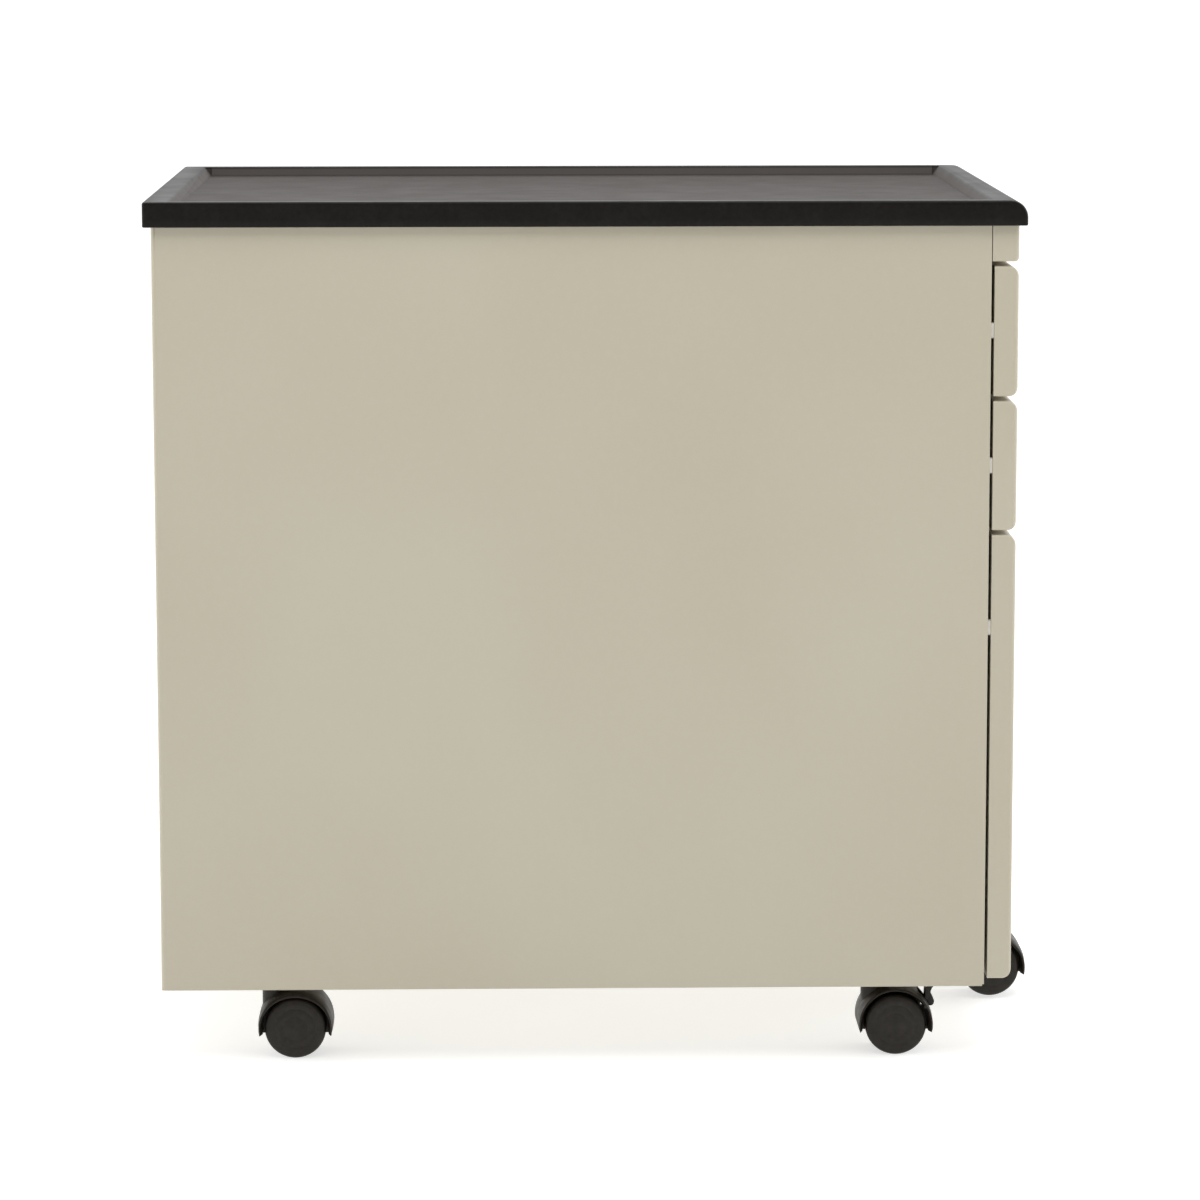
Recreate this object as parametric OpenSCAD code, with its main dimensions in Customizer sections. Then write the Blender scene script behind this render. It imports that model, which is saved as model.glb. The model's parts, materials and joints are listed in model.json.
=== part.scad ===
// Three-drawer mobile steel pedestal: wrap-around case, moulded tray top,
// two shallow drawers over one file drawer, telescopic ball slides, a cam
// lock, four hooded twin-wheel casters and a fifth one under the file drawer.
// Frame: X is the width, the drawers open towards -Y, Z is up from the floor.

/* [Case] */
// Width of the steel case
case_w = 380; // [370:1:400]
// Depth of the steel case, back face to front edge
case_d = 532; // [520:1:560]
// Height of the whole pedestal over the floor
total_h = 560; // [556:1:566]
// Height of the case's lower edge over the floor
case_z0 = 51; // [51:1:53]
// Sheet thickness of the case and the drawer bodies
sheet = 1; // [0.8:0.1:1.2]

/* [Top tray] */
// Overhang of the top past the case on each side
top_over = 5; // [3:0.5:8]
// Height of the top's skirt
skirt_h = 16; // [16:1:18]
// Width of the raised rim at the rear
rim_w = 15; // [12:1:18]
// Width of the raised rim along the sides
rim_side = 11; // [10:0.5:12]
// Length of the sloping ramps at the recess's front and rear
ramp = 5; // [4:0.5:6]
// Run of the recess's sloping side walls
side_run = 4; // [2:0.5:5]
// Depth of the recess below the rim
recess = 6; // [5:0.5:6]
// Radius of the bullnose along the front edge
nose_r = 11; // [6:0.5:12]
// Wall thickness of the moulding
top_wall = 3; // [2.5:0.1:3]

/* [Drawer fronts] */
// Visible height of the fixed header rail
header_h = 23; // [23:1:25]
// Height of each shallow drawer's front
small_front_h = 83; // [80:1:84]
// Gap between one front and the next
front_gap = 3; // [2.5:0.5:4]
// Depth of the folded front pans
front_t = 15.5; // [15:0.5:17]
// Radius along a front's upper edge
front_r_top = 6.5; // [4:0.5:7]
// Radius along a front's lower edge
front_r_low = 5; // [2:0.5:5]
// Gap between the case's front edge and a closed front
seat_gap = 2; // [2:0.1:2.4]

/* [Drawers] */
// Outer width of the drawer bodies
body_w = 340; // [340:1:340]
// Depth of the drawer bodies
body_d = 500; // [480:5:505]
// Travel of the shallow drawers
small_travel = 375; // [300:5:380]
// Travel of the file drawer
file_travel = 480; // [420:5:480]

/* [Casters] */
// Wheel diameter
wheel_d = 40; // [38:1:40]
// Distance from the swivel axis to the axle
trail = 13; // [12:0.5:14]
// Width of the caster hood
hood_w = 38; // [36:1:40]
// Distance of the swivel axes from the case's side
caster_in = 39; // [34:1:50]
// Distance of the rear swivel axes from the case's back
caster_rear = 72; // [65:1:80]
// Distance of the front swivel axes from the case's front edge
caster_front = 68; // [65:1:80]
// Clearance of the fifth caster's wheels over the floor
fifth_up = 2; // [1:0.5:2]

/* [Hidden] */
$fn = 48;

putty = "#c3bda8";
charcoal = "#3a3a3a";
black = "#222222";
zinc = "#c4c6c8";
nylon = "#e6e4da";

// levels
skirt_z0 = total_h - skirt_h;               // lower edge of the top's skirt
floor_z = total_h - recess;                 // surface of the top's recess
case_z1 = floor_z - top_wall;               // upper edge of the case
header_z0 = skirt_z0 - header_h;
f1_z1 = header_z0 - front_gap;   f1_z0 = f1_z1 - small_front_h;
f2_z1 = f1_z0 - front_gap;       f2_z0 = f2_z1 - small_front_h;
f3_z1 = f2_z0 - front_gap;       f3_z0 = case_z0 + 5;
base_z = 55.5;                              // underside of the base pan
// depth levels, with the origin under the middle of the whole outline
wheel_r = wheel_d / 2;
hood_r = wheel_r + 4.6;                     // outer radius of the hood
fifth_in = 8;                               // fifth swivel axis behind the fronts' faces
front_reach = trail + hood_r - fifth_in;    // fifth hood ahead of the fronts' faces
outline_d = top_over + case_d + seat_gap + front_t + front_reach;
back_y = outline_d / 2 - top_over;          // outer face of the case's back
edge_y = back_y - case_d;                   // front edge of the case
seat_y = edge_y - seat_gap;                 // rear plane of the closed fronts
face_y = seat_y - front_t;                  // faces of the fronts
nose_y = face_y - top_over;                 // front of the top
body_y1 = seat_y + body_d;                  // back of the drawer bodies
half_w = case_w / 2;
half_b = body_w / 2;
post_x = half_b + 13;                       // inner face of the slide posts
wheel_y = -trail;
lock_x = 150;
lock_z = skirt_z0 - 10;
cam_r = 6;                                  // throw of the lock cam
pin_o = cam_r * sqrt(0.5);                  // rest offset of its pin, to -X and down
s1_z = f1_z0 + 42;  s2_z = f2_z0 + 41.5;  s3_z = f3_z1 - 60;   // slide centre lines
e = 0.01;

// ---- helpers ----
// 2D shape given in (Y, Z), extruded along X
module along_x(x0, x1) translate([x0, 0, 0]) rotate([90, 0, 90]) linear_extrude(x1 - x0) children();
// 2D shape given in (X, Z), extruded along Y
module along_y(y0, y1) translate([0, y1, 0]) rotate([90, 0, 0]) linear_extrude(y1 - y0) children();
module block(x0, x1, y0, y1, z0, z1) translate([x0, y0, z0]) cube([x1 - x0, y1 - y0, z1 - z0]);
module box2(x0, x1, y0, y1) translate([x0, y0]) square([x1 - x0, y1 - y0]);
module both() { children(); mirror([1, 0, 0]) children(); }
// rectangle with one radius at each corner
module rrect(x0, x1, y0, y1, r) {
  box2(x0 + r, x1 - r, y0, y1);
  box2(x0, x1, y0 + r, y1 - r);
  for (x = [x0 + r, x1 - r], y = [y0 + r, y1 - r]) translate([x, y]) circle(r);
}
// side outline of a folded front: face at y0, open side at y1
module front_outline(y0, y1, z0, z1, r_top, r_low) difference() {
  box2(y0, y1, z0, z1);
  difference() { box2(y0 - 1, y0 + r_top, z1 - r_top, z1 + 1); translate([y0 + r_top, z1 - r_top]) circle(r_top); }
  difference() { box2(y0 - 1, y0 + r_low, z0 - 1, z0 + r_low); translate([y0 + r_low, z0 + r_low]) circle(r_low); }
}
// plan outline of a folded front: rounded at its two outer vertical edges
module front_plan(x1, y0, y1, r) difference() {
  box2(-x1, x1, y0, y1);
  for (s = [-1, 1]) scale([s, 1]) difference() { box2(x1 - r, x1 + 1, y0 - 1, y0 + r); translate([x1 - r, y0 + r]) circle(r); }
}
// folded pan, open at the rear
module pan(z0, z1, r_top, r_low, y0 = face_y, y1 = seat_y) difference() {
  intersection() {
    along_x(-half_w - 1, half_w + 1) front_outline(y0, y1, z0, z1, r_top, r_low);
    translate([0, 0, z0 - 1]) linear_extrude(z1 - z0 + 2) front_plan(half_w, y0, y1, 2.5);
  }
  intersection() {
    along_x(-half_w + 1.2, half_w - 1.2) front_outline(y0 + 1.2, y1 + 5, z0 + 1.2, z1 - 1.2, max(r_top - 1.2, 0.8), max(r_low - 1.2, 0.8));
    translate([0, 0, z0]) linear_extrude(z1 - z0) front_plan(half_w - 1.2, y0 + 1.2, y1 + 5, 1.3);
  }
}

// ---- top ----
// moulded top with a raised rim, a recess and a hollow underside
module top_tray() color(charcoal) {
  x1 = half_w + top_over; y1 = back_y + top_over; xi = x1 - rim_side; yi0 = nose_y + nose_r + rim_w - 5; yi1 = y1 - rim_w;
  difference() {
    intersection() {
      along_x(-x1, x1) front_outline(nose_y, y1, skirt_z0, total_h, nose_r, 0.8);
      translate([0, 0, skirt_z0 - 1]) linear_extrude(skirt_h + 2) rrect(-x1, x1, nose_y, y1, 2);
    }
    // recess: sloping side walls between the end ramps, upright walls beside the ramps
    along_y(yi0 + ramp, yi1 - ramp) polygon([[-xi + side_run, floor_z], [xi - side_run, floor_z], [xi, total_h], [xi, total_h + 1], [-xi, total_h + 1], [-xi, total_h]]);
    along_x(-xi, xi) polygon([[yi1 - ramp - e, floor_z], [yi1 + ramp / recess, total_h + 1], [yi1 - ramp - e, total_h + 1]]);
    along_x(-xi, xi) polygon([[yi0 + ramp + e, floor_z], [yi0 - ramp / recess, total_h + 1], [yi0 + ramp + e, total_h + 1]]);
    // hollow under the rim and the plate
    difference() {
      block(-x1 + 2.5, x1 - 2.5, nose_y + 2.5, y1 - 2.5, skirt_z0 - 1, total_h - top_wall);
      block(-x1, x1, nose_y, nose_y + nose_r, total_h - top_wall - 4.5, total_h);
      // plate that carries the recess, lying on the case
      block(-xi - 2, xi + 2, yi0 - 2, yi1 + 2, case_z1, total_h);
    }
    for (x = [-half_w + 11, half_w - 11], y = [edge_y + 40, (edge_y + back_y) / 2, back_y - 40])
      translate([x, y, case_z1 - 1]) cylinder(r = 1.8, h = 3.2);
  }
  // stiffening ribs between the skirt and the plate, clear of the case
  for (y = [nose_y + 60, nose_y + 200, nose_y + 340, nose_y + 480]) both()
    block(xi + 1.9, x1 - 2.4, y, y + 2, case_z1 + 0.2, total_h - top_wall + 0.1);
}

// ---- case ----
// one sheet folded round both sides and the back, with inward flanges
module case_wrap() color(putty) {
  r = 3;
  difference() {
    translate([0, 0, case_z0]) linear_extrude(case_z1 - case_z0) difference() {
      union() { rrect(-half_w, half_w, back_y - 40, back_y, r); box2(-half_w, half_w, edge_y, back_y - r); }
      rrect(-half_w + sheet, half_w - sheet, back_y - 40, back_y - sheet, r - sheet);
      box2(-half_w + sheet, half_w - sheet, edge_y - 1, back_y - 10);
    }
    both() translate([half_w - 2, edge_y - 1, case_z0 - 1]) cube([3, 2.2, 2.2]);
  }
  // front return flanges, stopped over the lower edge
  both() block(post_x + 0.5, half_w - sheet + e, edge_y, edge_y + sheet, case_z0 + 6, case_z1);
  // lower hem and upper seat flange
  difference() {
    union() {
      block(-half_w + 0.5, half_w - 0.5, edge_y + 1.2, back_y - 0.5, case_z0, case_z0 + sheet);
      block(-half_w + 0.5, half_w - 0.5, edge_y + sheet, back_y - 0.5, case_z1 - sheet, case_z1);
    }
    block(-half_w + 9, half_w - 9, edge_y - 1, back_y - 9, case_z0 - 1, case_z0 + 5);
    block(-half_w + 18, half_w - 18, edge_y - 1, back_y - 18, case_z1 - 5, case_z1 + 1);
    for (x = [-half_w + 11, half_w - 11], y = [edge_y + 40, (edge_y + back_y) / 2, back_y - 40])
      translate([x, y, case_z1 - 2]) cylinder(r = 2.2, h = 4);
  }
}

// pressed floor of the case that carries the four casters
module base_pan() color(putty) {
  y0 = edge_y + 1.2; y1 = back_y - sheet; x1 = half_w - sheet;
  difference() {
    union() {
      block(-x1, x1, y0, y1, base_z, base_z + 1);
      block(-x1, x1, y1 - 1, y1, base_z, base_z + 14);                 // rear flange
      both() block(x1 - 1, x1, y0, y1, base_z, base_z + 14);           // side flanges
      block(-x1, x1, y0 - 0.4, y0 + 0.8, case_z0 + 1.2, base_z + 1);   // front lip
      for (x = [-caster_x(), caster_x()], y = caster_ys()) translate([x, y, base_z - 0.5]) cylinder(r = 24, h = 1.5); // pressed seats
    }
    for (x = [-caster_x(), caster_x()], y = caster_ys()) translate([x, y, base_z - 5]) cylinder(r = 4.25, h = 12);
    // corners clear the case's rear bends
    both() block(x1 - 2.6, x1 + 1, y1 - 2.6, y1 + 1, base_z - 1, base_z + 20);
  }
}
function caster_x() = half_w - caster_in;
function caster_ys() = [edge_y + caster_front, back_y - caster_rear];

// fixed rail over the drawers, with the lock hole
module header_rail() color(putty) difference() {
  union() {
    pan(header_z0, case_z1 - 1.5, 1.2, 2.5, face_y, edge_y - 0.5);
    // back plate inside the pan
    block(-half_w + 1.1, half_w - 1.1, edge_y - 1.7, edge_y - 0.5, header_z0 + 1.1, case_z1 - 2.6);
    // raised joint faces against the case's return flanges
    both() block(post_x + 1, half_w - 1.5, edge_y - 0.6, edge_y, header_z0 + 3, case_z1 - 4);
  }
  translate([lock_x, face_y - 1, lock_z]) rotate([-90, 0, 0]) cylinder(r = 9.1, h = 40);
}

// four upright channels that carry the slides
module slide_posts() color(zinc) for (y = [edge_y + 1.2, back_y - 62]) both()
  translate([0, 0, base_z + 14.2]) linear_extrude(case_z1 - base_z - 16.5) difference() {
    box2(post_x, half_w - sheet, y, y + 25);
    box2(post_x + 1.2, half_w, y + 1.2, y + 23.8);
  }

// two cross angles that tie the case's sides together at the top
module top_rails() color(putty) {
  x1 = post_x - 0.6;
  difference() {
    union() {
      block(-x1, x1, edge_y + 1.2, edge_y + 2.4, header_z0 + 2, case_z1 - 2);
      block(-x1, x1, edge_y + 1.2, edge_y + 24, case_z1 - 2.2, case_z1 - 1);
    }
    translate([lock_x, edge_y - 5, lock_z]) rotate([-90, 0, 0]) cylinder(r = 10.5, h = 40);
  }
  block(-x1, x1, back_y - 30, back_y - sheet - 0.1, case_z1 - 2.2, case_z1 - 1);
  block(-x1, x1, back_y - 30, back_y - 28.8, case_z1 - 25, case_z1 - 2);
}

// pan-head screws that hold the top down
module top_screws() color(zinc)
  for (x = [-half_w + 11, half_w - 11], y = [edge_y + 40, (edge_y + back_y) / 2, back_y - 40]) translate([x, y, 0]) difference() {
    union() {
      translate([0, 0, case_z1 - 2]) cylinder(r = 1.78, h = 4);
      translate([0, 0, case_z1 - 3.6]) cylinder(r = 3.6, h = 2.55);
    }
    for (a = [0, 90]) rotate(a) translate([-2, -0.4, case_z1 - 4]) cube([4, 0.8, 1.6]);
  }

// nylon pads that the closed fronts rest on
module drawer_bumpers() color(nylon) for (z = [s1_z, s2_z, s3_z]) both()
  along_y(seat_y + 0.1, edge_y) rrect(half_w - 6.2, half_w - 0.8, z - 5, z + 5, 1.5);

// ---- lock ----
module lock_housing() color(zinc) translate([lock_x, 0, lock_z]) rotate([-90, 0, 0]) difference() {
  union() {
    translate([0, 0, face_y - 1.2]) cylinder(r = 10.5, h = 1.2);
    translate([0, 0, face_y - e]) cylinder(r = 9, h = 27);
  }
  translate([0, 0, face_y - 2]) cylinder(r = 6.55, h = 40);
}
// rotating plug with its key slot
module lock_plug() color("#8f9194") translate([lock_x, 0, lock_z]) rotate([-90, 0, 0]) difference() {
  union() {
    translate([0, 0, face_y - 1.6]) cylinder(r = 6.5, h = 28.6);
    translate([0, 0, face_y + 27 - e]) cylinder(r = 3, h = 5);
  }
  translate([-0.8, -3.8, face_y - 3]) cube([1.6, 7.6, 14]);
}
// cam lever with the pin that lifts the bar
module lock_cam() color(zinc) translate([lock_x, 0, lock_z]) difference() {
  union() {
    along_y(face_y + 29, face_y + 31) union() { circle(5.5); translate([-pin_o, -pin_o]) circle(3.2); rotate(45) box2(-cam_r, 0, -3.2, 3.2); }
    along_y(face_y + 30, face_y + 51) translate([-pin_o, -pin_o]) circle(1.5);
  }
  translate([0, face_y + 25, 0]) rotate([-90, 0, 0]) cylinder(r = 3.02, h = 20);
}
bar_y = face_y + 48;                         // front plane of the bar's arm and fingers
bar_x = post_x + 1.5;
finger_z = [f1_z0 - 4, f2_z0 - 4, f3_z0 + 145];
// upright bar whose fingers step in front of the drawers' catches
module lock_bar() color(zinc) {
  block(bar_x, bar_x + 1.5, bar_y, bar_y + 16, finger_z[2] - 6, lock_z + 2);
  for (z = finger_z) block(half_b + 2, bar_x + 0.5, bar_y, bar_y + 1.5, z, z + 9);
  difference() {
    along_y(bar_y, bar_y + 1.5) union() { box2(lock_x - 12, bar_x + 0.5, lock_z - 13, lock_z + 1); }
    translate([0, -1, 0]) along_y(bar_y, bar_y + 4) rrect(lock_x - cam_r - 2.1, lock_x - pin_o + 2.1, lock_z - pin_o - 2.1, lock_z - pin_o + 2.1, 1);
  }
}
// clips on the case's side that the bar slides in
module lock_bar_guides() color(zinc) for (z = [finger_z[2] + 40, f2_z0 + 18, f1_z0 + 21]) difference() {
  block(bar_x - 1.3, half_w - sheet, bar_y - 3, bar_y + 20, z, z + 10);
  block(bar_x - 0.2, half_w, bar_y - 0.3, bar_y + 16.3, z - 1, z + 11);
  block(bar_x + 1.8, half_w, bar_y - 1.8, bar_y + 18.8, z - 1, z + 11);
}

// ---- drawers ----
pull_w = 112; pull_h = 26;
module drawer_front(z0, z1, pull_z) color(putty) {
  difference() {
    pan(z0, z1, front_r_top, front_r_low);
    along_y(face_y - 1, face_y + 5) rrect(-pull_w / 2, pull_w / 2, pull_z - pull_h / 2, pull_z + pull_h / 2, 4);
    children();
  }
  // stiffeners that tie the face to the drawer body
  both() difference() {
    block(104, 130, face_y + 1.1, seat_y - 1.1, z0 + 14, z1 - 12);
    block(105.2, 128.8, face_y - 1, seat_y - 2.3, z0 + 10, z1 - 8);
  }
}
// recessed pull: bezel and finger cup
module drawer_pull(pull_z) color(black) difference() {
  union() {
    along_y(face_y - 0.6, face_y) rrect(-pull_w / 2 - 3, pull_w / 2 + 3, pull_z - pull_h / 2 - 3, pull_z + pull_h / 2 + 3, 6);
    along_y(face_y - e, face_y + 13) rrect(-pull_w / 2 + 0.2, pull_w / 2 - 0.2, pull_z - pull_h / 2 + 0.2, pull_z + pull_h / 2 - 0.2, 3.8);
  }
  along_y(face_y - 2, face_y + 11.4) rrect(-pull_w / 2 + 2, pull_w / 2 - 2, pull_z - pull_h / 2 + 2, pull_z + pull_h / 2 - 2, 2.4);
}
// open tray with hemmed edges and a catch for the lock bar
module drawer_body(z0, z1, catch_z, pz0, pz1, notch = 0) color(putty) {
  y0 = seat_y; y1 = body_y1;
  difference() {
    block(-half_b, half_b, y0, y1, z0, z1);
    block(-half_b + sheet, half_b - sheet, y0 + sheet, y1 - sheet, z0 + sheet, z1 + 1);
  }
  // hem along the upper edge
  difference() {
    block(-half_b, half_b, y0, y1, z1 - 9, z1);
    block(-half_b + 2.2, half_b - 2.2, y0 + 2.2, y1 - 2.2, z1 - 20, z1 + 1);
  }
  // front plate, set into the open back of the folded front
  difference() {
    block(-half_w + 1.4, half_w - 1.4, y0 - 1.1, y0 + e, pz0 + 1.4, pz1 - 1.4);
    if (notch > 0) block(-29, 29, y0 - 5, y0 + 5, pz0 - 1, pz0 + notch);
  }
  block(half_b - e, half_b + 10, bar_y + 3, bar_y + 4.5, catch_z, catch_z + 12);
}
module file_body() drawer_body(f3_z0 + 10, f3_z1 - 28, finger_z[2] + 12, f3_z0, f3_z1, 10.4);
// two strips that hanging folders hook over
module file_hanging_rails() color(zinc) both() {
  z1 = f3_z1 - 28;
  block(156.2, 157.7, seat_y + 2.3, body_y1 - 2.3, z1 - 16, z1 - 0.5);
  for (y = [seat_y + 2.3, body_y1 - 3.5]) block(156.2, half_b - 2.2, y, y + 1.2, z1 - 8.5, z1 - 0.5);
}

// ---- telescopic slides (right-hand side, mirrored for the left) ----
sl_y0 = edge_y + 3;                          // front end of the cabinet members
sl_len = 500;
module channel(x_web, x_lip, half_h, t) {
  // C section: web at x_web, lips reaching to x_lip
  s = sign(x_lip - x_web);
  box2(min(x_web, x_web + s * t), max(x_web, x_web + s * t), -half_h, half_h);
  for (m = [0, 1]) mirror([0, m]) box2(min(x_web, x_lip), max(x_web, x_lip), half_h - t, half_h);
}
module member(z, y0, len, x_web, x_lip, half_h, t) both()
  translate([0, 0, z]) difference() {
    along_y(y0, y0 + len) channel(x_web, x_lip, half_h, t);
    for (f = [0.08, 0.5, 0.92]) translate([post_x - 14, y0 + f * len, 0]) rotate([0, 90, 0]) cylinder(r = 2.3, h = 15);
  }
module cages(z, y0, len, x_web, x_lip, ball_z, r, n) both() translate([0, 0, z]) {
  along_y(y0, y0 + len) channel(x_web, x_lip, ball_z + 0.25, 0.5);
  for (s = [-1, 1], i = [0 : n - 1]) translate([(x_web + x_lip) / 2 - 0.2, y0 + 8 + i * (len - 16) / (n - 1), s * ball_z]) sphere(r);
}
// 35 mm two-member slide
module small_outer(z) color(zinc) member(z, sl_y0, sl_len, post_x, post_x - 11, 17.5, 1.2);
module small_inner(z) color(zinc) member(z, seat_y + 1, sl_len - 4, half_b, half_b + 9, 12.2, 1.2);
module small_cages(z) color("#8a8c8f") cages(z, sl_y0 + small_travel / 2 + 2, sl_len - small_travel - 12, post_x - 1.5, post_x - 10, 14.25, 2, 6);
// 45 mm three-member slide
module file_slide_outer() color(zinc) member(s3_z, sl_y0, sl_len, post_x, post_x - 11, 22.5, 1.2);
module file_slide_middle() color(zinc) member(s3_z, sl_y0 + 1, sl_len - 2, post_x - 2.2, post_x - 11, 17.1, 1.2);
module file_slide_inner() color(zinc) member(s3_z, seat_y + 1, sl_len - 2, half_b, half_b + 8.6, 12.7, 1.2);
module file_ball_cages_outer() color("#8a8c8f") cages(s3_z, sl_y0 + 125, 240, post_x - 1.45, post_x - 10, 19.2, 2, 9);
module file_ball_cages_inner() color("#8a8c8f") cages(s3_z, sl_y0 + 125, 240, post_x - 3.65, post_x - 10.4, 14.3, 1.5, 9);

// ---- fifth caster's mounting ----
fifth_y = face_y + fifth_in;
module anti_tip_bracket() color(zinc) {
  z = f3_z0 + 1.3;
  difference() {
    union() {
      block(-28, 28, fifth_y - 5, seat_y + 60, z, z + 2);
      block(-28, 28, seat_y + 58, seat_y + 60, z, f3_z0 + 10);
      block(-28, 28, seat_y + 58, seat_y + 90, f3_z0 + 8, f3_z0 + 10);
      // cheeks under the drawer floor
      both() block(26, 28, seat_y + 2, seat_y + 60, z, f3_z0 + 10);
    }
    translate([0, fifth_y, z - 5]) cylinder(r = 4.05, h = 12);
    along_x(-30, 30) polygon([[fifth_y - 6, z - 1], [fifth_y - 2.2, z - 1], [fifth_y - 2.2, z], [fifth_y - 5.2, z + 1.3], [fifth_y - 6, z + 1.3]]);
  }
}

// ---- casters, drawn with the swivel axis on Z and the wheel trailing to -Y ----
pivot = [-trail - 19.5, wheel_r + 12.5];     // brake pivot, (Y, Z)
module hood_shape(brake, neck = 28.5) {
  zc = wheel_r + 0.7;
  difference() {
    union() {
      along_x(-hood_w / 2, hood_w / 2) union() {
        intersection() { translate([wheel_y, zc]) circle(hood_r); box2(-80, 80, zc - 0.1, 80); }
        box2(wheel_y - hood_r, wheel_y + hood_r, wheel_r - 6.4, zc);
      }
      translate([0, 0, wheel_r + 5]) cylinder(r = 9, h = neck);
    }
    // wheel wells on both sides of the centre web
    for (s = [-1, 1]) {
      translate([s > 0 ? 2.5 : -hood_w, wheel_y, wheel_r]) rotate([0, 90, 0]) cylinder(r = wheel_r + 1.3, h = hood_w - 2.5);
      block(s > 0 ? 2.5 : -hood_w, s > 0 ? hood_w : -2.5, wheel_y - wheel_r - 1.3, wheel_y + wheel_r + 1.3, 0, wheel_r);
      // the walls end a little above the foot of the web
      block(s > 0 ? 2.5 : -hood_w, s > 0 ? hood_w : -2.5, wheel_y - 40, wheel_y + 40, 0, wheel_r - 4.8);
    }
    translate([-hood_w, wheel_y, wheel_r]) rotate([0, 90, 0]) cylinder(r = 3.02, h = 2 * hood_w);
    translate([0, 0, wheel_r + 21]) cylinder(r = 4.06, h = 20);
    if (brake) difference() {
      block(-6.5, 6.5, wheel_y - 30, wheel_y - 15.5, wheel_r + 5.5, wheel_r + 40);
      translate([-7, pivot[0], pivot[1]]) rotate([0, 90, 0]) cylinder(r = 1.5, h = 14);
    }
  }
}
module stem(seat_z, nut_z, collar_z = wheel_r + 33.8) {
  difference() {
    union() {
      translate([0, 0, wheel_r + 21.3]) cylinder(r = 4, h = nut_z - wheel_r - 21.3 + 6.6);
      translate([0, 0, collar_z]) cylinder(r = 8, h = seat_z - collar_z);
      translate([0, 0, nut_z]) cylinder(r = 7.2, h = 6, $fn = 6);
    }
  }
}
module axle() rotate([0, 90, 0]) translate([-wheel_r, wheel_y, -14.3]) cylinder(r = 3, h = 28.6);
// hollow wheel with a closed outer face, side s = 1 or -1
module wheel(s) translate([0, wheel_y, wheel_r]) rotate([0, 90 * s, 0]) difference() {
  rotate_extrude() difference() {
    union() {
      box2(0, wheel_r, 3.5, 15.5);
      box2(0, wheel_r - 2, 3.5, 17.5);
      translate([wheel_r - 2, 15.5]) circle(2);
    }
    box2(6, wheel_r - 2.6, 3, 14.6);        // hollow behind the face
    box2(12.4, 13.2, 17.1, 18);             // fine ring on the face
    box2(-1, 3.06, 3, 14.6);                // axle bore
  }
}
// toggle lever of the front casters' brakes
module brake() difference() {
  along_x(-5.8, 5.8) difference() {
    union() {
      translate([pivot[0], pivot[1]]) circle(2.6);
      // lobed foot, waist and a pad that leans forward, as [forward of the axle, above the axle]
      polygon([for (p = [[22.2, 10.6], [25.6, 11.6], [26, 12.8], [24.6, 15.4], [23.8, 18.4], [24.2, 21.6], [25.6, 24.2], [27.8, 26], [30.4, 27], [30.6, 28.9],
                         [27, 28.9], [23.6, 27.6], [21.2, 25], [20.3, 22], [20, 18.8], [18.6, 15], [19.4, 12]]) [wheel_y - p[0], wheel_r + p[1]]]);
    }
  }
  translate([-10, pivot[0], pivot[1]]) rotate([0, 90, 0]) cylinder(r = 1.58, h = 20);
}
module at_rl() translate([-caster_x(), caster_ys()[1], 0]) children();
module at_rr() translate([caster_x(), caster_ys()[1], 0]) children();
module at_fl() translate([-caster_x(), caster_ys()[0], 0]) children();
module at_fr() translate([caster_x(), caster_ys()[0], 0]) children();
module at_tip() translate([0, fifth_y, fifth_up]) children();

module caster_stems() color(zinc) { at_rl() stem(base_z - 0.5, base_z + 1); at_rr() stem(base_z - 0.5, base_z + 1); at_fl() stem(base_z - 0.5, base_z + 1); at_fr() stem(base_z - 0.5, base_z + 1); }

top_tray();
case_wrap();
base_pan();
header_rail();
slide_posts();
top_rails();
top_screws();
drawer_bumpers();
lock_housing();
lock_plug();
lock_cam();
lock_bar();
lock_bar_guides();
p1 = (f1_z0 + f1_z1) / 2 + 4;  p2 = (f2_z0 + f2_z1) / 2 + 4;  p3 = f3_z1 - 46;
drawer_front(f1_z0, f1_z1, p1);  // drawer_1_front
drawer_body(f1_z0 + 6, f1_z1 - 18, finger_z[0] + 12, f1_z0, f1_z1);  // drawer_1_body
drawer_pull(p1);  // drawer_1_pull
small_outer(s1_z);  // drawer_1_slide_outer
small_inner(s1_z);  // drawer_1_slide_inner
small_cages(s1_z);  // drawer_1_ball_cages
drawer_front(f2_z0, f2_z1, p2);  // drawer_2_front
drawer_body(f2_z0 + 6, f2_z1 - 18, finger_z[1] + 12, f2_z0, f2_z1);  // drawer_2_body
drawer_pull(p2);  // drawer_2_pull
small_outer(s2_z);  // drawer_2_slide_outer
small_inner(s2_z);  // drawer_2_slide_inner
small_cages(s2_z);  // drawer_2_ball_cages
drawer_front(f3_z0, f3_z1, p3) translate([0, fifth_y, f3_z0 - 5]) cylinder(r = 4.05, h = 12);  // file_front
file_body();
drawer_pull(p3);  // file_pull
file_hanging_rails();
file_slide_outer();
file_slide_middle();
file_slide_inner();
file_ball_cages_outer();
file_ball_cages_inner();
anti_tip_bracket();
caster_stems();
color(zinc) at_tip() stem(f3_z0 - fifth_up, f3_z0 + 3.3 - fifth_up, wheel_r + 32.6);  // anti_tip_stem
color(black) at_rl() hood_shape(false);  // caster_rear_left_hood
color(zinc) at_rl() axle();  // caster_rear_left_axle
color(charcoal) at_rl() wheel(-1);  // caster_rear_left_wheel_a
color(charcoal) at_rl() wheel(1);  // caster_rear_left_wheel_b
color(black) at_rr() hood_shape(false);  // caster_rear_right_hood
color(zinc) at_rr() axle();  // caster_rear_right_axle
color(charcoal) at_rr() wheel(-1);  // caster_rear_right_wheel_a
color(charcoal) at_rr() wheel(1);  // caster_rear_right_wheel_b
color(black) at_fl() hood_shape(true);  // caster_front_left_hood
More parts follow.
